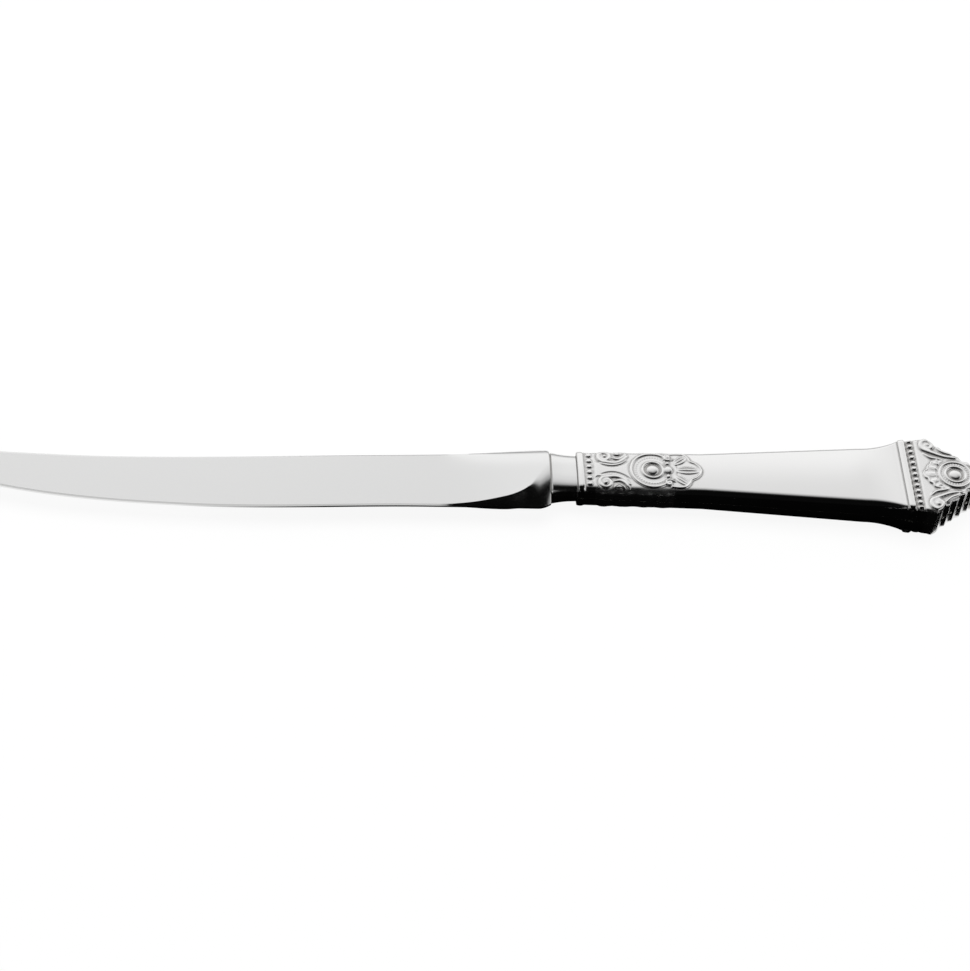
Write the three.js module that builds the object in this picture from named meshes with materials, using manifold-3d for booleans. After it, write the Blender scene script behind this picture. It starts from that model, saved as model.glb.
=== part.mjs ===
// A table knife with a hollow silver handle, in millimetres, lying on its back. Two stamped half shells
// are soldered along the handle's narrow sides, and the cement cast inside them holds the blade's notched tang.
// +X runs from the tip to the butt, +Y to the blade's spine and +Z up. The origin lies on the surface that the
// knife rests on, at the middle of its box. Each piece is drawn with X = 0 at the handle's mouth and Z = 0 in
// the seam.
import * as THREE from "three";
import { mergeVertices } from "three/addons/utils/BufferGeometryUtils.js";
import Module from "manifold-3d";

// Blade: heights of the spine and the edge are measured from the knife's middle line
const BLADE_LENGTH = 137.5;
const HEEL_SPINE = 6.9;
const BACK_SPINE = 5.2;
const DIP_SPINE = 3.3;
const TIP_SPINE = 4.8;
const HEEL_EDGE = 8;
const CHOIL_EDGE = 9.2;
const BELLY_EDGE = 10.4;
const FRONT_EDGE = 6.2;
const TIP_ROUNDING = 2.6;
const SPINE_THICKNESS = 1.7;
const POINT_THICKNESS = 1.0;
const EDGE_THICKNESS = 0.4;

// Heel and neck, forged with the blade
const HEEL_THICKNESS = 6.8;
const HEEL_SWELL = 26;
const HEEL_ROLL = 1.2;
const HEEL_ROLL_DROP = 0.4;
const NECK_LENGTH = 6;
const NECK_WIDTH = 11.4;
const NECK_THICKNESS = 5.7;
const NECK_FLARE = 0.7;

// Tang, inside the handle
const TANG_LENGTH = 52;
const TANG_WIDTH = 6.2;
const TANG_THICKNESS = 2.6;
const TANG_TIP_WIDTH = 4.2;
const TANG_TIP_THICKNESS = 1.8;
const TANG_NOTCHES = 3;
const NOTCH_LENGTH = 3;
const NOTCH_DEPTH = 0.7;

// Handle shells: widths across Y and thicknesses across Z at the mouth, along the plain part and at the butt
const MOUTH_WIDTH = 12;
const MOUTH_THICKNESS = 6.4;
const MOUTH_RADIUS = 1.7;
const GRIP_START_WIDTH = 13;
const GRIP_START_THICKNESS = 6.5;
const GRIP_END_WIDTH = 18.2;
const GRIP_END_THICKNESS = 7.5;
const GRIP_RADIUS = 2.3;
const GRIP_LENGTH = 39;
const FLARE_LENGTH = 6;
const FLARE_WIDTH = 20.4;
const BUTT_WIDTH = 22.4;
const BUTT_THICKNESS = 8.2;
const BUTT_RADIUS = 0.9;
const WALL = 0.7;
const CAVITY_RADIUS = 0.4;

// Solder between the shells, and the clearance round the cement
const SEAM_THICKNESS = 0.2;
const SEAM_RECESS = 0.06;
const CEMENT_CLEARANCE = 0.3;
const CEMENT_RECESS = 1;

// Collar ornament, from the mouth on: rim, beads, scrolls, ringed disc and leaf
const RIM_LENGTH = 1.5;
const RIM_HEIGHT = 0.3;
const BAND_BEVEL = 0.3;
const BEAD_SIZE = 1.45;
const BEAD_HEIGHT = 0.46;
const BEAD_PITCH = 1.65;
const BEAD_BORDER = 0.4;
const SCROLL_LENGTH = 7.6;
const SCROLL_WIDTH = 0.65;
const SCROLL_HEIGHT = 0.4;
const SCROLL_SPREAD = 3.5;
const VOLUTE_TURNS = 1.25;
const COLLAR_VOLUTE = 1.55;
const COLLAR_LEAVE = 1.4 * Math.PI;
const DISC_RADIUS = 5.2;
const DISC_HEIGHT = 0.32;
const DISC_RING = 0.9;
const BOSS_RADIUS = 1.5;
const BOSS_HEIGHT = 0.5;
const BOSS_RING = 0.7;
const LEAF_LENGTH = 6.4;
const LEAF_WIDTH = 2.5;
const LEAF_FAN = 0.5;
const LEAF_HEIGHT = 0.45;

// Butt ornament: moulding, beads, corner volutes, scalloped gable and the end disc
const MOULDING_LENGTH = 1.8;
const MOULDING_HEIGHT = 0.5;
const SHOULDER_LENGTH = 2.8;
const GABLE_LENGTH = 7.1;
const END_DISC_RADIUS = 4.5;
const SCALLOP_PITCH = 2;
const SCALLOP_DEPTH = 0.5;
const CORNER_VOLUTE = 1.9;
const CORNER_LEAVE = 1.3 * Math.PI;
const BUTT_LEAF_LENGTH = 3.6;
const BUTT_LEAF_WIDTH = 2;
const BUTT_SCROLL_WIDTH = 0.78;
const END_DISC_BORDER = 0.4;

// How finely the curves are divided
const ACROSS_STEPS = 8;
const CORNER_STEPS = 5;
const ROUND_STEPS = 20;
const BEAD_STEPS = 6;
const SPIRAL_STEPS = 16;

const wasm = await Module();
wasm.setup();

function lerp(from, to, share) {
  return from + (to - from) * share;
}

function clamp(value) {
  return Math.min(Math.max(value, 0), 1);
}

function smooth(share) {
  const s = clamp(share);
  return s * s * (3 - 2 * s);
}

// A closed mesh as a solid that can be joined and cut
function solidOf(geometry) {
  const bare = new THREE.BufferGeometry();
  bare.setAttribute("position", geometry.getAttribute("position"));
  bare.setIndex(geometry.index);
  const merged = mergeVertices(bare, 1e-4);
  return new wasm.Manifold(
    new wasm.Mesh({
      numProp: 3,
      vertProperties: new Float32Array(merged.getAttribute("position").array),
      triVerts: new Uint32Array(merged.index.array),
    }),
  );
}

function geometryOf(solid) {
  const mesh = solid.getMesh();
  const geometry = new THREE.BufferGeometry();
  geometry.setAttribute("position", new THREE.BufferAttribute(mesh.vertProperties, mesh.numProp));
  geometry.setIndex(new THREE.BufferAttribute(mesh.triVerts, 1));
  return geometry;
}

// A solid through closed loops of equally many points, with a fan round its middle on each end
function loft(loops) {
  const count = loops[0].length;
  const vertices = loops.flat();
  const index = [];
  for (let ring = 0; ring + 1 < loops.length; ring++) {
    for (let i = 0; i < count; i++) {
      const a = ring * count + i;
      const b = ring * count + ((i + 1) % count);
      index.push(a, b, b + count, a, b + count, a + count);
    }
  }
  const lastRing = (loops.length - 1) * count;
  for (const [start, turned] of [[0, true], [lastRing, false]]) {
    const rim = vertices.slice(start, start + count);
    const middle = rim.reduce((sum, point) => sum.add(point), new THREE.Vector3()).divideScalar(count);
    vertices.push(middle);
    for (let i = 0; i < count; i++) {
      const a = start + i;
      const b = start + ((i + 1) % count);
      index.push(vertices.length - 1, turned ? b : a, turned ? a : b);
    }
  }
  const geometry = new THREE.BufferGeometry().setFromPoints(vertices);
  geometry.setIndex(index);
  return geometry;
}

// Where each stretch of the handle starts, counted from the mouth
const collarBeadsAt = RIM_LENGTH + BEAD_BORDER + BEAD_SIZE / 2;
const scrollsAt = collarBeadsAt + BEAD_SIZE / 2 + BEAD_BORDER;
const discAt = scrollsAt + SCROLL_LENGTH + DISC_RADIUS;
const leafAt = discAt + DISC_RADIUS;
const gripAt = leafAt + LEAF_LENGTH;
const flareAt = gripAt + GRIP_LENGTH;
const mouldingAt = flareAt + FLARE_LENGTH;
const buttBeadsAt = mouldingAt + MOULDING_LENGTH + BEAD_BORDER + BEAD_SIZE / 2;
const gableAt = buttBeadsAt + BEAD_SIZE / 2 + SHOULDER_LENGTH;
const endDiscAt = gableAt + GABLE_LENGTH;

// The round end stops in a small flat, at this angle about the end disc's middle
const endFlatTurn = 0.12;
const handleEnd = endDiscAt + END_DISC_RADIUS * Math.cos(endFlatTurn);

// The gable's straight sides touch the round end here, as an angle about the end disc's middle
const gableReach = Math.hypot(GABLE_LENGTH, BUTT_WIDTH / 2);
const gableTurn = Math.atan2(BUTT_WIDTH / 2, -GABLE_LENGTH) - Math.acos(END_DISC_RADIUS / gableReach);
const touchAt = endDiscAt + END_DISC_RADIUS * Math.cos(gableTurn);
const touchWidth = END_DISC_RADIUS * Math.sin(gableTurn);

// A size along the handle: straight along the collar and the grip, and swept out in the flare
function alongHandle(x, mouth, gripStart, gripEnd, flare) {
  if (x <= gripAt) return lerp(mouth, gripStart, clamp(x / gripAt));
  if (x <= flareAt) return lerp(gripStart, gripEnd, (x - gripAt) / GRIP_LENGTH);
  return lerp(gripEnd, flare, clamp((x - flareAt) / FLARE_LENGTH) ** 2);
}

function halfThickness(x) {
  return alongHandle(x, MOUTH_THICKNESS, GRIP_START_THICKNESS, GRIP_END_THICKNESS, BUTT_THICKNESS) / 2;
}

function halfWidth(x) {
  if (x <= mouldingAt) return alongHandle(x, MOUTH_WIDTH, GRIP_START_WIDTH, GRIP_END_WIDTH, FLARE_WIDTH) / 2;
  if (x <= gableAt) return lerp(FLARE_WIDTH, BUTT_WIDTH, (x - mouldingAt) / (gableAt - mouldingAt)) / 2;
  if (x <= touchAt) return lerp(BUTT_WIDTH / 2, touchWidth, (x - gableAt) / (touchAt - gableAt));
  return Math.sqrt(Math.max(END_DISC_RADIUS ** 2 - (x - endDiscAt) ** 2, 0));
}

function cornerRadius(x) {
  return alongHandle(x, MOUTH_RADIUS, GRIP_RADIUS, GRIP_RADIUS, BUTT_RADIUS);
}

// The raised rim at the mouth and the moulding at the butt, both with bevelled sides
function bandHeight(x) {
  const bevelled = (from, length) => clamp(Math.min(x - from, from + length - x) / BAND_BEVEL);
  return RIM_HEIGHT * bevelled(0, RIM_LENGTH) + MOULDING_HEIGHT * bevelled(mouldingAt, MOULDING_LENGTH);
}

// Flutes along the gable's sides, sharp between round lobes
function scallop(x) {
  if (x < gableAt || x > touchAt) return 0;
  return SCALLOP_DEPTH * (1 - Math.abs(Math.cos((Math.PI * (x - gableAt)) / SCALLOP_PITCH)));
}

function outerHalfWidth(x) {
  return halfWidth(x) - scallop(x) + bandHeight(x);
}

// The wall is measured from the bottom of the flutes where there are any
function wallInset(x) {
  return x >= gableAt ? WALL + SCALLOP_DEPTH : WALL;
}

// The upper half of a rounded rectangle, from the +Y side over the face to the -Y side
function archLoop(x, width, thickness, radius, base) {
  const fullest = 0.9;
  const r = Math.min(radius, fullest * width, fullest * (thickness - base));
  const loop = [new THREE.Vector3(x, width, base)];
  for (let i = 0; i <= CORNER_STEPS; i++) {
    const angle = (Math.PI / 2) * (i / CORNER_STEPS);
    loop.push(new THREE.Vector3(x, width - r + r * Math.cos(angle), thickness - r + r * Math.sin(angle)));
  }
  const mirrored = loop.map((point) => new THREE.Vector3(x, -point.y, point.z)).reverse();
  return [...loop, ...mirrored];
}

// The same section set in from the shell's outer face
function cavityLoop(x, inset, base) {
  const radius = Math.max(cornerRadius(x) - inset, CAVITY_RADIUS);
  return archLoop(x, halfWidth(x) - inset, halfThickness(x) - inset, radius, base);
}

function flareStations() {
  const flareSteps = 5;
  const stations = [];
  for (let i = 0; i <= flareSteps; i++) stations.push(flareAt + (FLARE_LENGTH * i) / flareSteps);
  return stations;
}

function handleStations() {
  const mouldingEnd = mouldingAt + MOULDING_LENGTH;
  const stations = [0, BAND_BEVEL, RIM_LENGTH - BAND_BEVEL, RIM_LENGTH, discAt, gripAt, ...flareStations()];
  stations.push(mouldingAt + BAND_BEVEL, mouldingEnd - BAND_BEVEL, mouldingEnd, gableAt);
  const scallopSteps = 4;
  const scallopStep = SCALLOP_PITCH / scallopSteps;
  for (let x = gableAt + scallopStep; x < touchAt - scallopStep / 2; x += scallopStep) stations.push(x);
  const endSteps = 8;
  for (let i = 0; i <= endSteps; i++) {
    const angle = lerp(gableTurn, endFlatTurn, i / endSteps);
    stations.push(endDiscAt + END_DISC_RADIUS * Math.cos(angle));
  }
  return stations;
}

// Height of the shell's plain surface over the seam plane, at a point of the face
function faceHeight(x, y) {
  const r = cornerRadius(x);
  const past = Math.min(Math.max(Math.abs(y) - (halfWidth(x) - r), 0), r);
  return halfThickness(x) - r + Math.sqrt(r * r - past * past);
}

// A tapering ridge along a path of points on the face, rooted in the shell
function ridge(path, width, height) {
  const root = 0.4;
  const endTaper = 0.45;
  const loops = path.map((point, i) => {
    const before = path[Math.max(i - 1, 0)];
    const after = path[Math.min(i + 1, path.length - 1)];
    const across = new THREE.Vector2(before.y - after.y, after.x - before.x).normalize();
    const share = i / (path.length - 1);
    const size = lerp(endTaper, 1, Math.sin(Math.PI * share));
    const base = faceHeight(point.x, point.y);
    const crest = height * size;
    const profile = [[-0.5, -root], [0.5, -root], [0.42, crest / 2], [0, crest], [-0.42, crest / 2]];
    return profile.map(([side, up]) => {
      const reach = side * width * size;
      return new THREE.Vector3(point.x + across.x * reach, point.y + across.y * reach, base + up);
    });
  });
  return solidOf(loft(loops));
}

// A spiral that winds out from its eye, leaves its circle at an angle and runs on as a stem to a given point
function volutePath(middle, radius, leaveAngle, stemEnd) {
  const eye = 0.28;
  const path = [];
  for (let i = 0; i <= SPIRAL_STEPS; i++) {
    const share = i / SPIRAL_STEPS;
    const angle = leaveAngle - 2 * Math.PI * VOLUTE_TURNS * (1 - share);
    const reach = radius * lerp(eye, 1, share);
    path.push(new THREE.Vector2(middle.x + reach * Math.cos(angle), middle.y + reach * Math.sin(angle)));
  }
  const leave = path.at(-1);
  const heading = leave.clone().sub(path.at(-2)).setLength(leave.distanceTo(stemEnd) / 2);
  const stem = new THREE.QuadraticBezierCurve(leave, leave.clone().add(heading), stemEnd);
  const stemSteps = 3;
  return [...path, ...stem.getPoints(stemSteps).slice(1)];
}

function mirrorPath(path) {
  return path.map((point) => new THREE.Vector2(point.x, -point.y));
}

// A round disc with a raised outer ring, a hollowed field and a ringed boss
function disc(x, radius) {
  const root = 0.6;
  const field = 0.08;
  const bevel = 0.2;
  const groove = 0.25;
  const bossFoot = BOSS_RADIUS + groove;
  const profile = [
    [0, -root],
    [radius, -root],
    [radius, DISC_HEIGHT - bevel],
    [radius - bevel, DISC_HEIGHT],
    [radius - DISC_RING, DISC_HEIGHT],
    [radius - DISC_RING - bevel, field],
    [bossFoot + BOSS_RING + bevel, field],
    [bossFoot + BOSS_RING / 2, DISC_HEIGHT],
    [bossFoot, field],
    [BOSS_RADIUS, field],
    [Math.SQRT1_2 * BOSS_RADIUS, field + Math.SQRT1_2 * (BOSS_HEIGHT - field)],
    [0, BOSS_HEIGHT],
  ];
  const turned = new THREE.LatheGeometry(profile.map(([r, z]) => new THREE.Vector2(r, z)), ROUND_STEPS);
  turned.rotateX(Math.PI / 2);
  turned.translate(x, 0, halfThickness(x));
  return solidOf(turned);
}

// One rounded petal lying on the face, pointing along an angle
function petal(x, y, length, width, angle) {
  const shape = new THREE.SphereGeometry(1, ROUND_STEPS / 2, BEAD_STEPS);
  shape.rotateX(Math.PI / 2);
  shape.scale(length / 2, width / 2, LEAF_HEIGHT);
  shape.rotateZ(angle);
  shape.translate(x, y, faceHeight(x, y));
  return solidOf(shape);
}

// A row of beads round the shell from seam to seam, evenly spaced
function beadRow(x) {
  const w = halfWidth(x);
  const t = halfThickness(x);
  const r = cornerRadius(x);
  const side = t - r;
  const arc = (Math.PI / 2) * r;
  const half = side + arc + w - r;
  const count = Math.round((2 * half) / BEAD_PITCH);
  const beads = [];
  for (let i = 0; i < count; i++) {
    const along = ((i + 0.5) * 2 * half) / count;
    const near = Math.min(along, 2 * half - along);
    const sign = along <= half ? 1 : -1;
    const angle = clamp((near - side) / arc) * (Math.PI / 2);
    const up = near < side ? near : t - r + r * Math.sin(angle);
    const out = near > side + arc ? half - near : w - r + r * Math.cos(angle);
    const bead = new THREE.SphereGeometry(BEAD_SIZE / 2, BEAD_STEPS, BEAD_STEPS - 2);
    bead.rotateX(Math.PI / 2);
    bead.scale(1, 1, (2 * BEAD_HEIGHT) / BEAD_SIZE);
    bead.rotateX(sign * (angle - Math.PI / 2));
    bead.translate(x, sign * out, up);
    beads.push(solidOf(bead));
  }
  return beads;
}

// A leaf of three petals fanned out from its stalk, pointing along +X or -X
function leaf(stalkX, length, width, fan, heading) {
  const sideSize = 0.85;
  const sideReach = 0.3;
  const middle = petal(stalkX + (heading * length) / 2, 0, length, width, 0);
  const sides = [1, -1].map((side) => {
    const x = stalkX + heading * sideReach * length;
    return petal(x, side * width, sideSize * length, sideSize * width, heading * side * fan);
  });
  return [middle, ...sides];
}

function collarOrnament() {
  const voluteX = scrollsAt + COLLAR_VOLUTE + SCROLL_WIDTH;
  const voluteMiddle = new THREE.Vector2(voluteX, SCROLL_SPREAD);
  const stemEnd = new THREE.Vector2(scrollsAt + SCROLL_LENGTH, SCROLL_SPREAD + SCROLL_WIDTH);
  const scroll = volutePath(voluteMiddle, COLLAR_VOLUTE, COLLAR_LEAVE, stemEnd);
  const waistY = SCROLL_SPREAD - COLLAR_VOLUTE;
  const waistSteps = 10;
  const waist = new THREE.QuadraticBezierCurve(
    new THREE.Vector2(scrollsAt, waistY),
    new THREE.Vector2(scrollsAt + SCROLL_LENGTH / 2, -SCROLL_WIDTH / 4),
    new THREE.Vector2(scrollsAt + SCROLL_LENGTH, waistY),
  ).getPoints(waistSteps);
  const lines = [scroll, mirrorPath(scroll), waist, mirrorPath(waist)];
  return [
    ...beadRow(collarBeadsAt),
    ...lines.map((path) => ridge(path, SCROLL_WIDTH, SCROLL_HEIGHT)),
    disc(discAt, DISC_RADIUS),
    ...leaf(leafAt, LEAF_LENGTH, LEAF_WIDTH, LEAF_FAN, 1),
  ];
}

function buttOrnament() {
  const corner = new THREE.Vector2(gableAt, BUTT_WIDTH / 2 - CORNER_VOLUTE - BUTT_RADIUS);
  const stemEnd = new THREE.Vector2(endDiscAt, END_DISC_RADIUS + SCROLL_WIDTH / 2);
  const scroll = volutePath(corner, CORNER_VOLUTE, CORNER_LEAVE, stemEnd);
  const lines = [scroll, mirrorPath(scroll)];
  const leafX = buttBeadsAt + BEAD_SIZE / 2 + BEAD_BORDER + BUTT_LEAF_LENGTH;
  return [
    ...beadRow(buttBeadsAt),
    ...lines.map((path) => ridge(path, BUTT_SCROLL_WIDTH, SCROLL_HEIGHT)),
    disc(endDiscAt, END_DISC_RADIUS - END_DISC_BORDER),
    ...leaf(leafX, BUTT_LEAF_LENGTH, BUTT_LEAF_WIDTH, LEAF_FAN, -1),
  ];
}

// One stamped half shell over the seam plane, open at the mouth
function shellGeometry() {
  const past = 1;
  const outer = handleStations().map((x) => {
    const band = bandHeight(x);
    return archLoop(x, outerHalfWidth(x), halfThickness(x) + band, cornerRadius(x) + band, -past);
  });
  const hollow = cavityStations(-past, endDiscAt).map((x) => {
    return cavityLoop(x, wallInset(x), -2 * past);
  });
  let shell = solidOf(loft(outer)).subtract(solidOf(loft(hollow)));
  for (const raised of [...collarOrnament(), ...buttOrnament()]) shell = shell.add(raised);
  const room = new THREE.BoxGeometry(handleEnd + 2 * past, 2 * BUTT_WIDTH, BUTT_THICKNESS);
  room.translate(handleEnd / 2, 0, SEAM_THICKNESS / 2 + BUTT_THICKNESS / 2);
  return geometryOf(shell.intersect(solidOf(room)));
}

function cavityStations(from, to) {
  return [from, gripAt, ...flareStations(), gableAt, to];
}

// Half-thickness over the way from one edge of a section to the other, round-cornered by its power
function roundHalf(half, across, power) {
  const flank = 0.3;
  const rise = (1 - Math.abs(2 * across - 1) ** power) ** (1 / power);
  return half * Math.max(rise, flank);
}

// A closed section of the blade forging between two heights, with its half-thickness given across it
function bladeLoop(x, high, low, halfAt) {
  const upper = [];
  const lower = [];
  for (let i = 0; i <= ACROSS_STEPS; i++) {
    const across = (1 - Math.cos((Math.PI * i) / ACROSS_STEPS)) / 2;
    const y = lerp(high, low, across);
    upper.push(new THREE.Vector3(x, y, halfAt(across)));
    lower.unshift(new THREE.Vector3(x, y, -halfAt(across)));
  }
  return [...upper, ...lower];
}

// A smooth line through [share of the blade's length, height] points
function heightAt(points, share) {
  const next = Math.max(points.findIndex(([at]) => at >= share), 1);
  const slope = (i) => {
    const [fromAt, fromHeight] = points[Math.max(i - 1, 0)];
    const [toAt, toHeight] = points[Math.min(i + 1, points.length - 1)];
    return (toHeight - fromHeight) / (toAt - fromAt);
  };
  const [startAt, start] = points[next - 1];
  const [endAt, end] = points[next];
  const span = endAt - startAt;
  const u = (share - startAt) / span;
  const bend = (slope(next - 1) * (1 - u) - slope(next) * u) * span * u * (1 - u);
  return lerp(start, end, smooth(u)) + bend;
}

function bladeSection(share) {
  const tipShare = TIP_ROUNDING / BLADE_LENGTH;
  const tipEdge = TIP_SPINE - TIP_ROUNDING;
  const spineLine = [[0, HEEL_SPINE], [0.3, BACK_SPINE], [0.7, DIP_SPINE], [1, TIP_SPINE]];
  const edgeLine = [
    [0, -HEEL_EDGE],
    [0.22, -CHOIL_EDGE],
    [0.58, -BELLY_EDGE],
    [0.87, -FRONT_EDGE],
    [1, tipEdge],
  ];
  const spine = heightAt(spineLine, share);
  const edge = heightAt(edgeLine, share);
  const tipRun = clamp((share - 1 + tipShare) / tipShare);
  const tipBlunt = 0.04;
  const pinch = Math.sqrt(1 - (1 - tipBlunt) * tipRun ** 2);
  const tipMiddle = TIP_SPINE - TIP_ROUNDING / 2;
  const high = lerp(tipMiddle, spine, pinch);
  const low = lerp(tipMiddle, edge, pinch);
  const back = share * BLADE_LENGTH;
  const heelPower = 3.2;
  const swellPower = 1.25;
  const swell = smooth(1 - back / HEEL_SWELL) ** swellPower;
  const heelHalf = HEEL_THICKNESS / 2 - HEEL_ROLL_DROP * clamp(1 - back / HEEL_ROLL) ** 2;
  const spineHalf = lerp(SPINE_THICKNESS, POINT_THICKNESS, share) / 2;
  const halfAt = (across) => {
    const ground = lerp(spineHalf, EDGE_THICKNESS / 2, across);
    return lerp(ground, roundHalf(heelHalf, across, heelPower), swell);
  };
  return bladeLoop(-NECK_LENGTH - back, high, low, halfAt);
}

// Loops of the tang, grown by a clearance for the room that it takes in the cement
function tangLoops(start, clearance) {
  const section = (along, cut) => {
    const share = along / TANG_LENGTH;
    const half = lerp(TANG_WIDTH, TANG_TIP_WIDTH, share) / 2 - cut + clearance;
    const thick = lerp(TANG_THICKNESS, TANG_TIP_THICKNESS, share) / 2 + clearance;
    const end = along >= TANG_LENGTH ? clearance : 0;
    return bladeLoop(along + end, half, -half, () => thick);
  };
  const loops = [section(start, 0)];
  const flank = 0.6;
  for (let i = 1; i <= TANG_NOTCHES; i++) {
    const from = (TANG_LENGTH * i) / (TANG_NOTCHES + 1) - NOTCH_LENGTH / 2;
    const to = from + NOTCH_LENGTH;
    loops.push(section(from, 0), section(from + flank, NOTCH_DEPTH));
    loops.push(section(to - flank, NOTCH_DEPTH), section(to, 0));
  }
  loops.push(section(TANG_LENGTH, 0));
  return loops;
}

function bladeGeometry() {
  const tipShare = TIP_ROUNDING / BLADE_LENGTH;
  const swellShare = HEEL_SWELL / BLADE_LENGTH;
  const shares = [];
  const tipSteps = 5;
  for (let i = 0; i < tipSteps; i++) {
    const angle = (Math.PI / 2) * (i / tipSteps);
    shares.push(1 - tipShare * (1 - Math.cos(angle)));
  }
  const bladeSteps = 18;
  for (let i = 0; i < bladeSteps; i++) shares.push(lerp(1 - tipShare, swellShare, i / bladeSteps));
  const heelSteps = 10;
  const rollShare = HEEL_ROLL / BLADE_LENGTH;
  for (let i = 0; i < heelSteps; i++) shares.push(lerp(swellShare, rollShare, i / (heelSteps - 1)));
  shares.push(rollShare / 2, 0);
  const neckPower = 2.6;
  const neck = [1, 0.5, 0].map((share) => {
    const half = NECK_WIDTH / 2 + (NECK_FLARE / 2) * share ** 2;
    const thick = NECK_THICKNESS / 2 + (NECK_FLARE / 2) * share ** 2;
    return bladeLoop(-NECK_LENGTH * share, half, -half, (across) => roundHalf(thick, across, neckPower));
  });
  return loft([...shares.map(bladeSection), ...neck, ...tangLoops(0, 0)]);
}

// The cement fills the shells from just inside the mouth, and the tang's room is cut out of it
function cementGeometry() {
  const loops = cavityStations(CEMENT_RECESS, endDiscAt - CEMENT_CLEARANCE).map((x) => {
    const arch = cavityLoop(x, wallInset(x) + CEMENT_CLEARANCE, 0);
    const under = arch.slice(1, -1).map((point) => new THREE.Vector3(x, point.y, -point.z));
    return [...arch, ...under.reverse()];
  });
  const room = tangLoops(0, CEMENT_CLEARANCE);
  return geometryOf(solidOf(loft(loops)).subtract(solidOf(loft(room))));
}

// The solder lies between the shells' rims, just below their outer faces
function solderGeometry() {
  const inner = 0.05;
  const stations = handleStations();
  const outer = stations.map((x) => new THREE.Vector2(x, outerHalfWidth(x) - SEAM_RECESS));
  const cavity = cavityStations(0, endDiscAt).map((x) => {
    return new THREE.Vector2(x, halfWidth(x) - wallInset(x) + inner);
  });
  cavity.push(new THREE.Vector2(endDiscAt + inner, cavity.at(-1).y));
  const outline = [...outer, ...mirrorPath(outer).reverse(), ...mirrorPath(cavity), ...cavity.reverse()];
  const strip = new THREE.ExtrudeGeometry(new THREE.Shape(outline), {
    depth: SEAM_THICKNESS,
    bevelEnabled: false,
  });
  strip.translate(0, 0, -SEAM_THICKNESS / 2);
  return strip;
}

function piece(name, geometry, color, roughness, metalness) {
  const mesh = new THREE.Mesh(geometry, new THREE.MeshStandardMaterial({ color, roughness, metalness }));
  mesh.name = name;
  return mesh;
}

const knife = new THREE.Group();
const blade = piece("blade", bladeGeometry(), 0xc9ccce, 0.18, 1);
const front = piece("handle_front", shellGeometry(), 0xdedcd4, 0.15, 1);
const back = piece("handle_back", shellGeometry(), 0xdedcd4, 0.15, 1);
const cement = piece("cement_core", cementGeometry(), 0x8c8478, 0.9, 0);
const solder = piece("solder_seam", solderGeometry(), 0xc4c1b6, 0.3, 1);
back.rotation.x = Math.PI;
knife.add(blade, front, back, cement, solder);
knife.position.x = (NECK_LENGTH + BLADE_LENGTH - handleEnd) / 2;
knife.position.z = BUTT_THICKNESS / 2 + MOULDING_HEIGHT;

export default knife;
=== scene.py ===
import math
import bmesh
import bpy
import numpy as np
from mathutils import Matrix, Vector


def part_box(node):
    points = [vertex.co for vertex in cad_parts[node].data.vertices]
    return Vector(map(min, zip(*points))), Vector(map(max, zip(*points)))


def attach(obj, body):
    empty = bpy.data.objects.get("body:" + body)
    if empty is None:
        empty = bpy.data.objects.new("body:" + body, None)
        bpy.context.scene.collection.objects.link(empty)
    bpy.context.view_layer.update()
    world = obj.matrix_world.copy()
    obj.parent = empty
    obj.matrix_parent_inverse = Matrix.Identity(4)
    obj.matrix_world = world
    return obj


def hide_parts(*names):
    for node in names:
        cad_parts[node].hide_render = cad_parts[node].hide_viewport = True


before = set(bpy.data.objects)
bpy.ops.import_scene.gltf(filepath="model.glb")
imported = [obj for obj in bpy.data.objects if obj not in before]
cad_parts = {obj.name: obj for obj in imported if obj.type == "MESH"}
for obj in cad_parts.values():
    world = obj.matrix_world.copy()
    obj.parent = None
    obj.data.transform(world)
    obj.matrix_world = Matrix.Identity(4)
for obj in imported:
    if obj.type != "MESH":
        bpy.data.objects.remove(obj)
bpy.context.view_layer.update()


# The blade is one forging of stainless steel, ground thin and polished. It thickens into a heel, steps
# down to a waisted neck that seats on the handle's mouth, and runs on as a notched tang in the cement.

# Shapes are worked out in millimetres: X from the handle's mouth, Y from the middle line, Z from the seam
mm = 0.001
mouth_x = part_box("handle_front")[0].x / mm
seam_z = (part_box("solder_seam")[0].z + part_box("solder_seam")[1].z) / 2 / mm
neck_length = 6.0
blade_length = mouth_x - neck_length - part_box("blade")[0].x / mm
tang_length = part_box("blade")[1].x / mm - mouth_x

# Spine and edge as (share of the length from the heel, height), the tip, and the ground faces between them
spine_points = [(0, 6.9), (0.3, 5.2), (0.7, 3.3), (1, 4.8)]
edge_points = [(0, -9.0), (0.22, -9.2), (0.58, -10.4), (0.87, -6.2), (1, 2.2)]
tip_rounding = 2.6
tip_middle = 3.5
tip_pinch = 0.985
spine_half = 0.85
point_half = 0.5
spine_corner = 0.45
spine_flat = 0.35
edge_half = 0.22
bevel_half = 0.3
bevel_width = 0.4
bevel_share = 0.3

# The heel: its swelling, the crease between face and flank as (way back, height), and its rolled end
heel_half = 3.4
heel_swell = 26.0
heel_swell_power = 1.1
heel_crease = [
    (0, 2.0), (1.2, 0.6), (2.6, -1.6), (4.8, -5.0), (8, -7.0), (12, -7.9), (18, -8.6), (26, -9.1)]
crease_blend = 0.3
crease_margin = 0.08
heel_flank = 0.35
heel_edge = 0.08
heel_power = 3.6
heel_fall = (2.4, 1.1)
heel_fall_from = 1.0
heel_fall_run = 5.0
heel_roll = 1.0
heel_roll_spine = 0.6
heel_break = 0.3
heel_sweep = 3.0
heel_sweep_edge = 1.2

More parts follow.
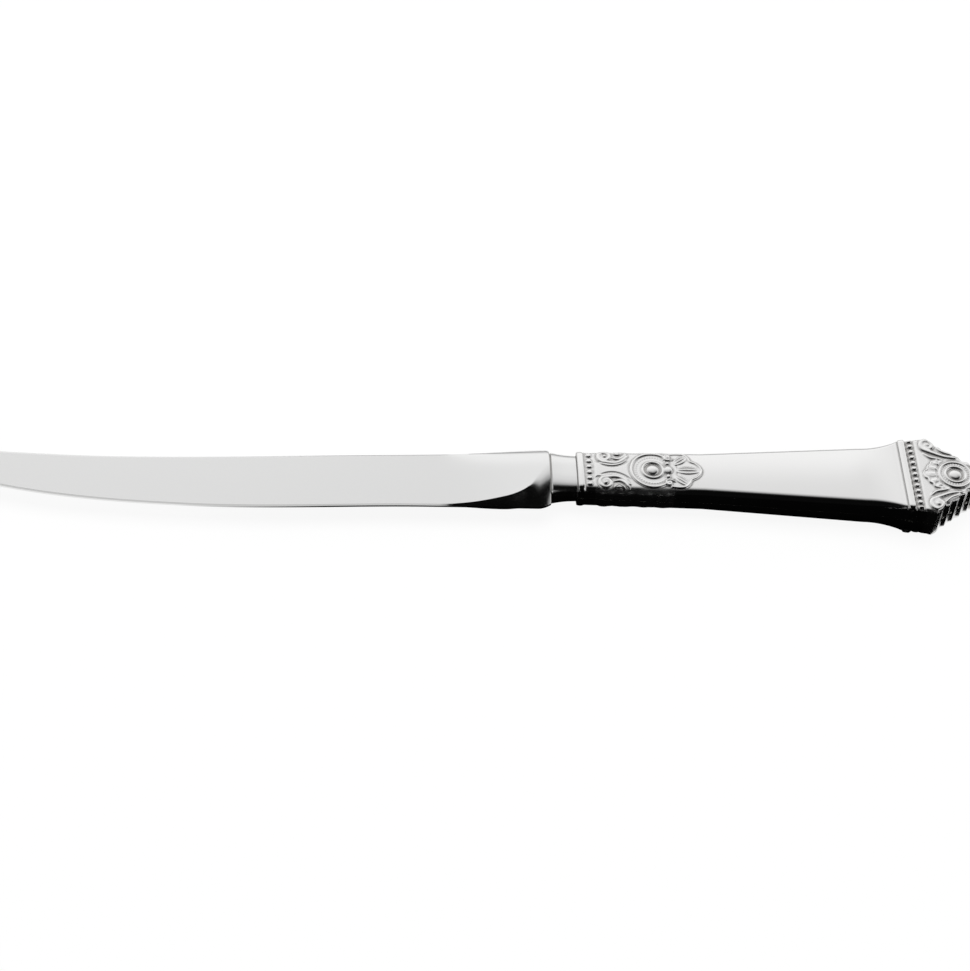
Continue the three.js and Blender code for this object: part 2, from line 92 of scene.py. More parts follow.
# The neck, with its flare towards the heel, and the tang with its notches
neck_half_width = 5.5
neck_half_thickness = 2.85
neck_flare_width = 0.75
neck_flare_thickness = 0.4
neck_power = 3.6
neck_flank = 0.3
neck_corner = 0.25
neck_groove = 0.35
tang_half_width = (3.1, 2.1)
tang_half_thickness = (1.3, 0.9)
notch_count = 3
notch_length = 3.0
notch_flank = 0.6
notch_depth = 0.7

# Steps across a section, and sections along each stretch
face_steps = 36
bevel_steps = 24
tip_steps = 24
flat_steps = 110
swell_steps = 90
roll_steps = 24
groove_steps = 4
waist_steps = 20
corner_steps = 8


def mix(start, end, share):
    return start + (end - start) * share


def ease(share):
    share = np.clip(share, 0, 1)
    return share * share * (3 - 2 * share)


def line_through(points, place):
    """Height of a smooth line through (place, height) points."""
    at = [point[0] for point in points]
    height = [point[1] for point in points]
    last = len(points) - 1

    def slope(i):
        before, after = max(i - 1, 0), min(i + 1, last)
        return (height[after] - height[before]) / (at[after] - at[before])

    right = next(i for i in range(1, last + 1) if place <= at[i] or i == last)
    left = right - 1
    span = at[right] - at[left]
    u = (place - at[left]) / span
    bend = (slope(left) * (1 - u) - slope(right) * u) * span * u * (1 - u)
    return mix(height[left], height[right], ease(u)) + bend


def forged_ring(x, y, half):
    """A closed section of the forging, with its half-thickness given at heights across it."""
    upper = np.column_stack([np.full_like(y, x), y, half])
    lower = np.column_stack([np.full_like(y, x), y, -half])
    return np.vstack([upper, lower[::-1]])


def round_half(half, power, flank, share):
    """Half-thickness across a round-cornered section with upright flanks, squarer for a higher power."""
    rise = (1 - np.abs(2 * share - 1) ** power) ** (1 / power)
    return half * np.maximum(rise, flank)


def rounded(back, length):
    """How far a quarter round at the heel's end has turned in, from 1 at the end to 0 at its length."""
    return 1 - math.sqrt(1 - np.clip(1 - back / length, 0, 1) ** 2)


def blade_ring(back):
    """The section at a distance back from the heel's end towards the tip."""
    # The outline, drawn together round the tip and rolled off at the heel's end
    share = back / blade_length
    tip_run = np.clip((share - 1) * blade_length / tip_rounding + 1, 0, 1)
    pinch = math.sqrt(max(1 - tip_pinch * tip_run**2, 0))
    high = mix(tip_middle, line_through(spine_points, share), pinch)
    high -= heel_roll_spine * rounded(back, heel_roll)
    low = mix(tip_middle, line_through(edge_points, share), pinch)
    low += heel_sweep_edge * max(1 - back / heel_sweep, 0) ** 2

    # Heights across the section, closest together at the spine and at the crease
    bevel_line = mix(low, high, min(bevel_width / (high - low), bevel_share))
    above_bevel = line_through(heel_crease, min(back, heel_swell)) - bevel_line
    crease = bevel_line + (above_bevel + math.hypot(above_bevel, crease_blend)) / 2
    crease = min(crease, mix(high, low, crease_margin))
    to_crease = mix(high, crease, (1 - np.cos(np.linspace(0, np.pi, face_steps + 1))) / 2)
    y = np.concatenate([to_crease, np.linspace(crease, low, bevel_steps + 1)[1:]])
    to_spine = high - y
    to_edge = y - low
    across = to_spine / (high - low)

    # The ground faces, with a rounded spine and a bevel at the edge
    ground = mix(mix(spine_half, point_half, share), bevel_half, across)
    spine_round = np.sqrt(1 - np.clip(1 - to_spine / spine_corner, 0, 1) ** 2)
    ground = ground * np.maximum(spine_round, spine_flat)
    bevel = mix(edge_half, bevel_half, np.clip(to_edge / bevel_width, 0, 1))
    ground = np.where(to_edge < bevel_width, np.minimum(ground, bevel), ground)

    # The heel swells out of them, full above the crease and falling away below it
    swell = ease(1 - back / heel_swell) ** heel_swell_power
    fall = np.clip((crease - y) / (crease - low), 0, 1)
    softness = mix(*heel_fall, ease((back - heel_fall_from) / heel_fall_run))
    top = heel_half - heel_break * rounded(back, heel_break)
    near_half = top * (1 - (1 - heel_edge) * fall**softness)
    far_half = round_half(top, heel_power, heel_flank, across)
    heel = np.where(across < 0.5, np.minimum(near_half, far_half), near_half)
    return forged_ring(-neck_length - back, y, mix(ground, heel, swell))


even_share = (1 - np.cos(np.linspace(0, np.pi, face_steps + bevel_steps + 1))) / 2


def neck_ring(x):
    """A section of the waisted neck, from the groove at the heel to the rounded corner at the mouth."""
    waist = (x / neck_length) ** 2
    corner = neck_corner - math.sqrt(max(neck_corner**2 - max(neck_corner + x, 0) ** 2, 0))
    corner += neck_groove * np.clip(1 - (x + neck_length) / neck_groove, 0, 1)
    half_width = neck_half_width + waist * neck_flare_width - corner
    half_thickness = neck_half_thickness + waist * neck_flare_thickness - corner
    half = round_half(half_thickness, neck_power, neck_flank, even_share)
    return forged_ring(x, mix(half_width, -half_width, even_share), half)


def tang_ring(x, cut):
    """A section of the tapered tang, narrowed by the cut where it is notched."""
    half_width = mix(*tang_half_width, x / tang_length) - cut
    half = np.full_like(even_share, mix(*tang_half_thickness, x / tang_length))
    return forged_ring(x, mix(half_width, -half_width, even_share), half)


tip_backs = blade_length - tip_rounding * (1 - np.cos(np.linspace(0, np.pi / 2, tip_steps)))
flat_backs = np.linspace(blade_length - tip_rounding, heel_swell, flat_steps)[1:]
swell_backs = np.linspace(heel_swell, heel_roll, swell_steps)[1:]
roll_backs = heel_roll * (1 - np.sin(np.linspace(0, np.pi / 2, roll_steps)))[1:]
backs = np.concatenate([tip_backs, flat_backs, swell_backs, roll_backs])
blade_rings = [blade_ring(back) for back in backs]
neck_stations = np.concatenate([
    -neck_length + neck_groove * np.linspace(0, 1, groove_steps),
    np.linspace(neck_groove - neck_length, -neck_corner, waist_steps)[1:],
    -neck_corner * np.linspace(0.9, 0, corner_steps),
])
blade_rings += [neck_ring(x) for x in neck_stations]
blade_rings.append(tang_ring(0, 0))
for i in range(1, notch_count + 1):
    start = tang_length * i / (notch_count + 1) - notch_length / 2
    end = start + notch_length
    blade_rings += [tang_ring(start, 0), tang_ring(start + notch_flank, notch_depth)]
    blade_rings += [tang_ring(end - notch_flank, notch_depth), tang_ring(end, 0)]
blade_rings.append(tang_ring(tang_length, 0))


def add_sheet(name, points):
    """A grid of rows and columns of points, in the drawing's millimetres, as a mesh in the part's frame."""
    rows, columns = points.shape[:2]
    bpy.ops.object.select_all(action="DESELECT")
    bpy.ops.mesh.primitive_grid_add(x_subdivisions=columns - 1, y_subdivisions=rows - 1, size=1)
    sheet = bpy.context.object
    sheet.name = sheet.data.name = name
    placed = (points.reshape(-1, 3) + [mouth_x, 0, seam_z]) * mm
    sheet.data.vertices.foreach_set("co", placed.astype(np.float32).ravel())
    sheet.data.update()
    return sheet


def shade(piece, angle):
    """Smooth shading, with an edge kept wherever faces meet at more than an angle in degrees."""
    bpy.ops.object.select_all(action="DESELECT")
    piece.select_set(True)
    bpy.context.view_layer.objects.active = piece
    bpy.ops.object.shade_smooth_by_angle(angle=math.radians(angle))


# The sections are rolled up into a tube, and its two ends are closed
merge_distance = 1e-7
rolled_rings = np.array(blade_rings)
rolled_rings = np.concatenate([rolled_rings, rolled_rings[:, :1]], axis=1)
blade = add_sheet("table_blade", rolled_rings)
bpy.ops.object.mode_set(mode="EDIT")
bpy.ops.mesh.select_all(action="SELECT")
bpy.ops.mesh.remove_doubles(threshold=merge_distance)
bpy.ops.mesh.fill_holes(sides=0)
bpy.ops.mesh.select_all(action="SELECT")
bpy.ops.mesh.normals_make_consistent(inside=False)
bpy.ops.object.mode_set(mode="OBJECT")
shade(blade, angle=22)


def new_group(name, inputs, outputs):
    """An empty shader node group with named sockets; inputs are (name, kind, value)."""
    group = bpy.data.node_groups.new(name, "ShaderNodeTree")
    for socket_name, kind, value in inputs:
        socket = group.interface.new_socket(socket_name, in_out="INPUT", socket_type=kind)
        if value is not None:
            socket.default_value = value
    for socket_name, kind in outputs:
        group.interface.new_socket(socket_name, in_out="OUTPUT", socket_type=kind)
    start = group.nodes.new("NodeGroupInput")
    end = group.nodes.new("NodeGroupOutput")
    return group, start, end


def math_node(tree, operation, first, second):
    """A Math node whose two inputs are sockets or plain numbers; gives its output."""
    node = tree.nodes.new("ShaderNodeMath")
    node.operation = operation
    for socket, value in zip(node.inputs, (first, second)):
        if isinstance(value, bpy.types.NodeSocket):
            tree.links.new(value, socket)
        else:
            socket.default_value = value
    return node.outputs["Value"]


def spread(tree, value, low, high, to_low, to_high):
    """A Map Range node that takes low..high to to_low..to_high and stops there."""
    node = tree.nodes.new("ShaderNodeMapRange")
    tree.links.new(value, node.inputs["Value"])
    node.inputs["From Min"].default_value = low
    node.inputs["From Max"].default_value = high
    node.inputs["To Min"].default_value = to_low
    node.inputs["To Max"].default_value = to_high
    return node.outputs["Result"]


def blended(tree, share, first, second):
    """A colour Mix node between two colours, given as sockets or plain values, by a share."""
    node = tree.nodes.new("ShaderNodeMix")
    node.data_type = "RGBA"
    tree.links.new(share, node.inputs["Factor"])
    colour_sockets = [socket for socket in node.inputs if socket.type == "RGBA"]
    for socket, value in zip(colour_sockets, (first, second)):
        if isinstance(value, bpy.types.NodeSocket):
            tree.links.new(value, socket)
        else:
            socket.default_value = (*value, 1)
    return next(socket for socket in node.outputs if socket.type == "RGBA")


def noise(tree, position, scale, detail):
    """A Noise node at a position, with its scale given as a socket or a plain number."""
    node = tree.nodes.new("ShaderNodeTexNoise")
    tree.links.new(position, node.inputs["Vector"])
    node.inputs["Detail"].default_value = detail
    if isinstance(scale, bpy.types.NodeSocket):
        tree.links.new(scale, node.inputs["Scale"])
    else:
        node.inputs["Scale"].default_value = scale
    return node.outputs["Fac"]


# Hairlines left by wiping and polishing: fine noise drawn out along one direction
hair_stretch = (60, 4500, 4500)
hair_depth = 0.00002
hairlines, hair_in, hair_out = new_group(
    "hairlines",
    [
        ("Position", "NodeSocketVector", None),
        ("Angle", "NodeSocketFloat", 0.0),
        ("Fineness", "NodeSocketFloat", 1.0),
    ],
    [("Height", "NodeSocketFloat")],
)
turn = hairlines.nodes.new("ShaderNodeVectorRotate")
turn.rotation_type = "Z_AXIS"
hairlines.links.new(hair_in.outputs["Position"], turn.inputs["Vector"])
hairlines.links.new(hair_in.outputs["Angle"], turn.inputs["Angle"])
draw_out = hairlines.nodes.new("ShaderNodeVectorMath")
draw_out.operation = "MULTIPLY"
draw_out.inputs[1].default_value = hair_stretch
hairlines.links.new(turn.outputs["Vector"], draw_out.inputs[0])
hair_noise = noise(hairlines, draw_out.outputs["Vector"], hair_in.outputs["Fineness"], detail=3)
hairlines.links.new(spread(hairlines, hair_noise, 0.35, 0.65, 0, 1), hair_out.inputs["Height"])

# Faint marks of handling: soft patches where the polish is a little duller
handling, mark_in, mark_out = new_group(
    "handling",
    [("Position", "NodeSocketVector", None), ("Scale", "NodeSocketFloat", 60.0)],
    [("Mask", "NodeSocketFloat")],
)
mark_noise = noise(handling, mark_in.outputs["Position"], mark_in.outputs["Scale"], detail=4)
handling.links.new(spread(handling, mark_noise, 0.42, 0.68, 0, 1), mark_out.inputs["Mask"])


def new_finish(name):
    """A material with its node tree, its Principled shader and the piece's own coordinates."""
    finish = bpy.data.materials.new(name)
    finish.use_nodes = True
    tree = finish.node_tree
    shader = tree.nodes["Principled BSDF"]
    position = tree.nodes.new("ShaderNodeTexCoord").outputs["Object"]
    return finish, tree, shader, position


def place_group(tree, group, position, **values):
    """A node group placed in a material with its own values; gives its one output."""
    node = tree.nodes.new("ShaderNodeGroup")
    node.node_tree = group
    tree.links.new(position, node.inputs["Position"])
    for name, value in values.items():
        node.inputs[name].default_value = value
    return node.outputs[0]


def bump(tree, shader, height, strength, distance):
    """A Bump node from a height to the shader's Normal."""
    node = tree.nodes.new("ShaderNodeBump")
    node.inputs["Strength"].default_value = strength
    node.inputs["Distance"].default_value = distance
    tree.links.new(height, node.inputs["Height"])
    tree.links.new(node.outputs["Normal"], shader.inputs["Normal"])


def dress(piece, finish):
    piece.data.materials.clear()
    piece.data.materials.append(finish)


# Polished steel, ground lengthways, with a line of painted shade in the groove between heel and neck
steel_colour = (0.79, 0.79, 0.787)
groove_painted_shade = (0.58, 0.575, 0.565)
groove_shade = (0.0001, 0.0003)
steel_roughness = (0.1, 0.14)
grind_roughness = 0.04
grind_bump = 0.04
steel, steel_tree, steel_shader, steel_place = new_finish("polished_steel")
steel_shader.inputs["Metallic"].default_value = 1
grind = place_group(steel_tree, hairlines, steel_place, Angle=0.0, Fineness=1.0)
steel_marks = place_group(steel_tree, handling, steel_place, Scale=55.0)
steel_split = steel_tree.nodes.new("ShaderNodeSeparateXYZ")
steel_tree.links.new(steel_place, steel_split.inputs["Vector"])
# Painted shade: the base colour darkens within a fraction of a millimetre of the groove behind the heel
groove_x = (mouth_x - neck_length) * mm
from_groove = math_node(steel_tree, "SUBTRACT", steel_split.outputs["X"], groove_x)
from_groove = math_node(steel_tree, "ABSOLUTE", from_groove, 0)
unshaded_share = spread(steel_tree, from_groove, *groove_shade, 0, 1)
steel_look = blended(steel_tree, unshaded_share, groove_painted_shade, steel_colour)
steel_tree.links.new(steel_look, steel_shader.inputs["Base Color"])
steel_gloss = spread(steel_tree, steel_marks, 0, 1, *steel_roughness)
grind_gloss = spread(steel_tree, grind, 0, 1, 0, grind_roughness)
steel_rough = math_node(steel_tree, "ADD", steel_gloss, grind_gloss)
steel_tree.links.new(steel_rough, steel_shader.inputs["Roughness"])
bump(steel_tree, steel_shader, grind, grind_bump, hair_depth)
dress(blade, steel)
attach(blade, "root")
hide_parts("blade")


# The cement is a grey-brown filling cast inside the shells round the tang. It is sealed in by the
# handle and the neck, so only its own material is set here.

cement_pale = (0.30, 0.27, 0.23)
cement_dark = (0.17, 0.15, 0.125)
cement_roughness = (0.75, 0.95)
cement_grain_scale = 900.0
cement_grain_depth = 0.0002
cement_bump = 0.4
cement, cement_tree, cement_shader, cement_place = new_finish("handle_cement")
cement_grain = noise(cement_tree, cement_place, cement_grain_scale, detail=6)
cement_share = spread(cement_tree, cement_grain, 0.35, 0.65, 0, 1)
cement_look = blended(cement_tree, cement_share, cement_dark, cement_pale)
cement_tree.links.new(cement_look, cement_shader.inputs["Base Color"])
cement_rough = spread(cement_tree, cement_grain, 0.3, 0.7, *cement_roughness)
cement_tree.links.new(cement_rough, cement_shader.inputs["Roughness"])
bump(cement_tree, cement_shader, cement_grain, cement_bump, cement_grain_depth)
dress(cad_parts["cement_core"], cement)


# The handle is two half shells of silver, stamped in one die and soldered edge to edge along the narrow
# sides. Beads, scrolls, ringed discs and leaves stand up from the metal at the collar and at the butt.

# Places along the handle, and (half width, half thickness, corner) at the ends of its stretches
grip_at = 28.15
flare_at = 64.15
moulding_at = 73.15
gable_at = 79.6
nose_at = 86.7
nose_radius = 4.5
handle_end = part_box("handle_front")[1].x / mm - mouth_x
mouth_half = (5.9, 3.1, 1.6)
grip_start_half = (6.5, 3.25, 2.0)
grip_end_half = (8.9, 3.71, 2.0)
butt_half = (10.2, 4.1, 0.9)
gable_half = 11.2
seam_half = 0.1

# The flutes step down the gable's edges, each as (way along, depth); the faces bow, and flatten at the butt
flute_start = 1.2
flute_pitch = 1.95
flute_shape = [(0, 0), (0.8, 0.53), (1.95, 0)]
face_bow = 80.0
flat_bow = 4000.0
flat_from = 60.0

# Stations along the handle, close together where there is ornament and round the nose
collar_end = 29.0
butt_start = 72.8
collar_steps = 262
grip_steps = 36
flare_steps = 28
butt_steps = 150
nose_steps = 40
nose_turn = np.linspace(0, np.pi / 2, nose_steps)
stations = np.concatenate([
    np.linspace(0, collar_end, collar_steps),
    np.linspace(collar_end, flare_at, grip_steps)[1:],
    np.linspace(flare_at, butt_start, flare_steps)[1:],
    np.linspace(butt_start, nose_at, butt_steps)[1:],
    nose_at + (handle_end - nose_at) * np.sin(nose_turn)[1:],
])
columns = 185
tiny = 1e-6


def along_handle(x, part):
    """A half size along the handle: straight in the collar and grip, swept out in the flare."""
    known = [size[part] for size in (mouth_half, grip_start_half, grip_end_half, butt_half)]
    plain = np.interp(x, [0, grip_at, flare_at], known[:3])
    flare = np.clip((x - flare_at) / (moulding_at - flare_at), 0, 1) ** 2
    return mix(plain, known[3], flare)


# The gable's straight edges run from its corners to where they touch the round nose
gable_turn = math.atan2(gable_half, gable_at - nose_at)
gable_turn -= math.acos(nose_radius / math.hypot(gable_half, gable_at - nose_at))
touch_at = nose_at + nose_radius * math.cos(gable_turn)
touch_half = nose_radius * math.sin(gable_turn)
in_flutes = (stations > gable_at + flute_start) & (stations < touch_at)
flute_place = np.mod(stations - gable_at - flute_start, flute_pitch)
flutes = np.interp(flute_place, *np.transpose(flute_shape))
butt_edge = np.interp(
    stations, [moulding_at, gable_at, touch_at], [butt_half[0], gable_half, touch_half])
nose_edge = np.sqrt(np.clip(nose_radius**2 - (stations - nose_at) ** 2, 0, None))
half_width = np.where(stations > moulding_at, butt_edge, along_handle(stations, 0))
half_width = np.where(stations > touch_at, nose_edge, half_width)
half_width = half_width - np.where(in_flutes, flutes, 0)
half_width[-1] = 0
half_thickness = along_handle(stations, 1)
corner = np.minimum(along_handle(stations, 2), 0.9 * half_width)

# Across each station the face bows in one wide arc, rolls over the corner and drops to the seam
flattening = ease((stations - flat_from) / (moulding_at - flat_from))
bow = 1 / mix(1 / face_bow, 1 / flat_bow, flattening)
roll_start = np.arcsin((half_width - corner) / (bow - corner))
face_reach = bow * roll_start
roll_reach = corner * (np.pi / 2 - roll_start)
side_reach = half_thickness - corner - seam_half
reach = (face_reach + roll_reach + side_reach)[:, None]
around = np.linspace(-1, 1, columns)[None, :]
along = np.repeat(stations[:, None], columns, axis=1)
over = around * reach
side = np.abs(over)
on_face = np.minimum(side, face_reach[:, None])
on_roll = np.clip(side - face_reach[:, None], 0, roll_reach[:, None])
on_side = np.clip(side - (face_reach + roll_reach)[:, None], 0, None)
tilt = on_face / bow[:, None]
tilt = tilt + np.where(corner[:, None] > tiny, on_roll / np.maximum(corner[:, None], tiny), 0)
crest = half_thickness - corner + bow - (bow - corner) * np.cos(roll_start)
face_y = bow[:, None] * np.sin(on_face / bow[:, None])
face_z = crest[:, None] - bow[:, None] * (1 - np.cos(on_face / bow[:, None]))
roll_y = corner[:, None] * (np.sin(tilt) - np.sin(roll_start)[:, None])
roll_z = corner[:, None] * (np.cos(tilt) - np.cos(roll_start)[:, None])
rolled_over = on_roll > 0
roll_share = on_roll / np.maximum(roll_reach, tiny)[:, None]
plain_y = face_y + np.where(rolled_over, roll_y, 0)
plain_z = face_z + np.where(rolled_over, roll_z, 0) - on_side


def dome(distance, radius, height):
    return height * np.sqrt(np.clip(1 - (distance / radius) ** 2, 0, None))


def pillow(distance, radius, height):
    """A flat-topped swelling with steep, rounded flanks."""
    return height * np.clip(1 - np.abs(distance / radius) ** 3.5, 0, None) ** 0.6


def band(start, end, height):
    """A moulding round the handle with well rounded edges."""
    middle, half = (start + end) / 2, (end - start) / 2
    return height * np.clip(1 - np.abs((along - middle) / half) ** 4, 0, None) ** 0.5


def ring(distance, middle, half, height):
    """A rounded ridge at one distance from a place."""
    return dome(distance - middle, half, height)


def stud(place, radius, height):
    """A round stud at an (along, side) place, on both sides alike."""
    return dome(np.hypot(along - place[0], side - place[1]), radius, height)


bead_length = 1.6
bead_pitch = 1.65
bead_share = 0.88


def bead_row(x, height):
    """Beads round the shell from seam to seam, evenly spaced, fading out over the corners."""
    row_reach = np.interp(x, stations, reach[:, 0])
    count = round(2 * row_reach / bead_pitch)
    place = (around + 1) / 2 * count
    off_centre = (place - np.floor(place) - 0.5) * 2
    beads = pillow(np.hypot((along - x) / (bead_length / 2), off_centre / bead_share), 1, height)
    return beads * (1 - ease(1.5 * roll_share))


def curve(points, count=28):
    """Points along a smooth curve through a few given ones."""
    points = np.array(points, float)
    padded = np.vstack([2 * points[0] - points[1], points, 2 * points[-1] - points[-2]])
    share = np.linspace(0, len(points) - 1 - tiny, count)
    i = np.floor(share).astype(int)
    u = (share - i)[:, None]
    p0, p1, p2, p3 = (padded[i + k] for k in range(4))
    return 0.5 * (2 * p1 + (p2 - p0) * u + (2 * p0 - 5 * p1 + 4 * p2 - p3) * u**2
                  + (3 * p1 - p0 - 3 * p2 + p3) * u**3)


def volute(middle, radius, turns, leave, stem):
    """A spiral that winds out of its eye, leaves its circle at an angle and runs on as a stem."""
    share = np.linspace(0, 1, 40)
    angle = math.radians(leave) - 2 * np.pi * turns * (1 - share)
    far = radius * mix(0.42, 1, share)
    spiral = np.column_stack([middle[0] + far * np.cos(angle), middle[1] + far * np.sin(angle)])
    return np.vstack([spiral, curve([spiral[-1], *stem], 24)[1:]])


def ridge(path, half, height, taper=0.4):
    """A rounded ridge along a path of (along, side) points, thinner at its ends, on both sides alike."""
    raised = np.zeros_like(along)
    near = (along > path[:, 0].min() - half) & (along < path[:, 0].max() + half)
    near &= (side > path[:, 1].min() - half) & (side < path[:, 1].max() + half)
    x, s = along[near], side[near]
    best = np.zeros_like(x)
    size = mix(taper, 1, np.sin(np.pi * np.linspace(0.04, 0.96, len(path))) ** 0.6)
    for (ax, ay), (bx, by), first, second in zip(path[:-1], path[1:], size[:-1], size[1:]):
        dx, dy = bx - ax, by - ay
        u = np.clip(((x - ax) * dx + (s - ay) * dy) / max(dx * dx + dy * dy, 1e-12), 0, 1)
        away = np.hypot(x - ax - u * dx, s - ay - u * dy)
        local = mix(first, second, u)
        best = np.maximum(best, local * pillow(away, half * local, height))
    raised[near] = best
    return raised


def petal(path, half, height):
    """A leaf blade along a path: full in the middle, pointed at its ends, with a sunk midrib."""
    return ridge(path, half, height, taper=0.12) - ridge(path, 0.16, 0.14, taper=0.3)


def lobe(path, half, height):
    """A broad leaf lobe along a path: a raised rim round a dished middle with a raised rib."""
    body = ridge(path, half, height, taper=0.3)
    dish = 0.55 * ridge(path, 0.62 * half, height, taper=0.2)
    return body - dish + ridge(path, 0.2, 0.45 * height, taper=0.3)


def within(half):
    """1 within a half width of the middle line and 0 beyond it, with a soft edge."""
    return ease((half - side) / 0.3 + 0.5)


dot_pitch = 0.62
disc_field = 0.1


def ringed_disc(x, radius, boss_height):
    """A turned disc: raised rim, a row of fine dots, a hollowed field and a ringed boss."""
    distance = np.hypot(along - x, over)
    around_disc = np.arctan2(over, along - x)
    dot_radius = 0.72 * radius
    dots = round(2 * np.pi * dot_radius / dot_pitch)
    off_dot = (np.mod(around_disc * dots / (2 * np.pi), 1) - 0.5) * dot_pitch
    inside = distance < radius
    rim = ring(distance, middle=radius - 0.45, half=0.45, height=0.36)
    dot_row = dome(np.hypot(distance - dot_radius, off_dot), radius=0.24, height=0.12)
    boss_ring = ring(distance, middle=2.3, half=0.42, height=0.38)
    boss_groove = ring(distance, middle=1.72, half=0.24, height=0.16)
    boss = dome(distance, radius=1.5, height=boss_height)
    outer_groove = ring(distance, middle=radius + 0.2, half=0.28, height=0.2)
    height = np.maximum(np.where(inside, disc_field, 0.0), rim)
    height = np.maximum(height, disc_field + dot_row * inside)
    height = np.maximum(height, boss_ring) - boss_groove
    return np.maximum(height, boss) - outer_groove, inside


# The collar: rim, beads, two facing scrolls with a waist between them, a ringed disc and a leaf
collar_field = 3.7
collar_beads = 2.62
collar_channel = 0.2
relief = ring(along, middle=0.76, half=0.78, height=0.3)
relief = relief - band(1.5, collar_field, collar_channel)
relief = np.maximum(relief, bead_row(collar_beads, height=0.5) - collar_channel)

waist_at = 7.7
waist_half = 0.7
from_waist = along - waist_at
widening = np.where(from_waist < 0, 1.05 * (from_waist / 3) ** 2, 1.3 * (from_waist / 3.3) ** 2)
waist = waist_half + widening
in_field = ease((along - collar_field) / 0.3) * ease((12.2 - along) / 0.5)
relief = relief + in_field * 0.16 * within(waist)
relief = relief - in_field * ring(side, middle=waist + 0.32, half=0.3, height=0.2)
collar_eye = (6.2, 3.85)
collar_stem = [(8.3, 2.0), (10.1, 2.75), (11.5, 4.2)]
collar_scroll = volute(collar_eye, radius=1.6, turns=1.3, leave=252, stem=collar_stem)
for raised in (
    ridge(collar_scroll, 0.52, 0.34),
    ridge(curve([(4.15, 1.9), (5.2, 1.75), (7.6, 1.3), (9.6, 1.75), (11.1, 2.9)]), 0.28, 0.2),
    ridge(curve([(7.9, 3.5), (9.2, 3.2), (10.4, 3.9), (11.3, 5.3)]), 0.42, 0.3),
    petal(curve([(8.0, 5.1), (9.2, 4.7), (10.4, 5.6)]), 0.55, 0.34),
    stud(collar_eye, 0.62, 0.5),
):
    relief = np.maximum(relief, raised)

leaf_at = 20.6
leaf_end = 27.9
disc_relief, in_disc = ringed_disc(x=16.8, radius=5.3, boss_height=0.6)
in_disc = in_disc & (along < leaf_at)
relief = np.where(in_disc, disc_relief, relief + np.minimum(disc_relief, 0))

leaf_points = [
    (leaf_at, 4.7), (22.4, 4.9), (24.0, 4.7), (24.9, 3.8),
    (25.4, 2.7), (26.5, 2.1), (27.4, 1.1), (27.8, 0),
]
leaf_edge = curve(leaf_points, count=60)
leaf_half = np.interp(along, leaf_edge[:, 0], leaf_edge[:, 1], left=0, right=0)
leaf_curl = (20.3, 3.7)
in_leaf = along > leaf_at
relief = relief + 0.14 * within(leaf_half) * (in_leaf & (along < leaf_end))
leaf_root = volute(leaf_curl, radius=0.85, turns=1.1, leave=300, stem=[(21.6, 3.4)])
for raised in (
    ridge(leaf_edge, 0.34, 0.34, taper=0.8) * in_leaf,
    lobe(curve([(22.4, 0), (24.6, 0), (26.9, 0)]), 1.3, 0.42),
    lobe(curve([(21.9, 2.0), (23.1, 2.9), (24.3, 3.9)]), 1.1, 0.42),
    ridge(leaf_root, 0.34, 0.5),
    stud(leaf_curl, 0.5, 0.52),
    dome(np.hypot((along - 20.3) / 1.15, over / 1.3), 1, 0.62),
    stud((20.2, 1.9), 0.65, 0.5),
):
    relief = np.maximum(relief, raised)

# The butt: moulding, beads, corner volutes with double stems, a fan of leaf lobes, nose rim and end disc
butt_field = 77.2
butt_beads = 76.08
butt_channel = 0.22
moulding_end = 74.95
relief = relief + ring(along, middle=72.75, half=0.22, height=0.1)
relief = np.maximum(relief, band(moulding_at, moulding_end, 0.48))
relief = relief - band(moulding_end, butt_field, butt_channel)
relief = np.maximum(relief, bead_row(butt_beads, height=0.52) - butt_channel)
fan_half_end = 4.1
fan_points = [
    (77.9, 0), (78.3, 1.0), (78.9, 1.3), (79.1, 2.3),
    (79.8, 2.8), (80.2, 3.7), (81.6, fan_half_end),
]
fan_edge = curve(fan_points, count=60)
fan_half = np.interp(along, fan_edge[:, 0], fan_edge[:, 1], left=-1, right=fan_half_end)
corner_eye = (80.0, 8.8)
corner_stem = [(81.2, 6.4), (83.4, 5.5), (85.8, 5.1)]
corner_scroll = volute(corner_eye, radius=1.7, turns=1.3, leave=234, stem=corner_stem)
nose_rim = ring(np.hypot(along - nose_at, over), middle=3.5, half=0.35, height=0.26)
for raised in (
    ridge(corner_scroll, 0.6, 0.38),
    ridge(curve([(78.8, 6.2), (80.2, 5.1), (81.8, 4.7), (83.0, 4.3)]), 0.42, 0.3),
    ridge(curve([(82.0, 8.0), (83.2, 6.9), (85.0, 6.1), (86.7, 5.4)]), 0.42, 0.32),
    stud(corner_eye, 0.75, 0.49),
    0.16 * within(fan_half),
    ridge(fan_edge, 0.26, 0.32, taper=0.8),
    lobe(curve([(81.1, 0), (79.8, 0), (78.5, 0)]), 0.85, 0.44),
    lobe(curve([(81.3, 1.5), (80.3, 1.9), (79.5, 2.1)]), 0.66, 0.42),
    lobe(curve([(81.7, 2.9), (81.2, 3.2), (80.5, 3.4)]), 0.5, 0.4),
    nose_rim * (along > nose_at),
):
    relief = np.where(along > butt_field, np.maximum(relief, raised), relief)
end_relief, in_end = ringed_disc(x=85.2, radius=4.1, boss_height=0.49)
relief = np.where(in_end, end_relief, relief + np.minimum(end_relief, 0))


def softened(field, passes):
    """A field with each point averaged with its neighbours, a number of times over."""
    for _ in range(passes):
        wide = np.pad(field, 1, mode="edge")
        field = (field + wide[:-2, 1:-1] + wide[2:, 1:-1] + wide[1:-1, :-2] + wide[1:-1, 2:]) / 5
    return field


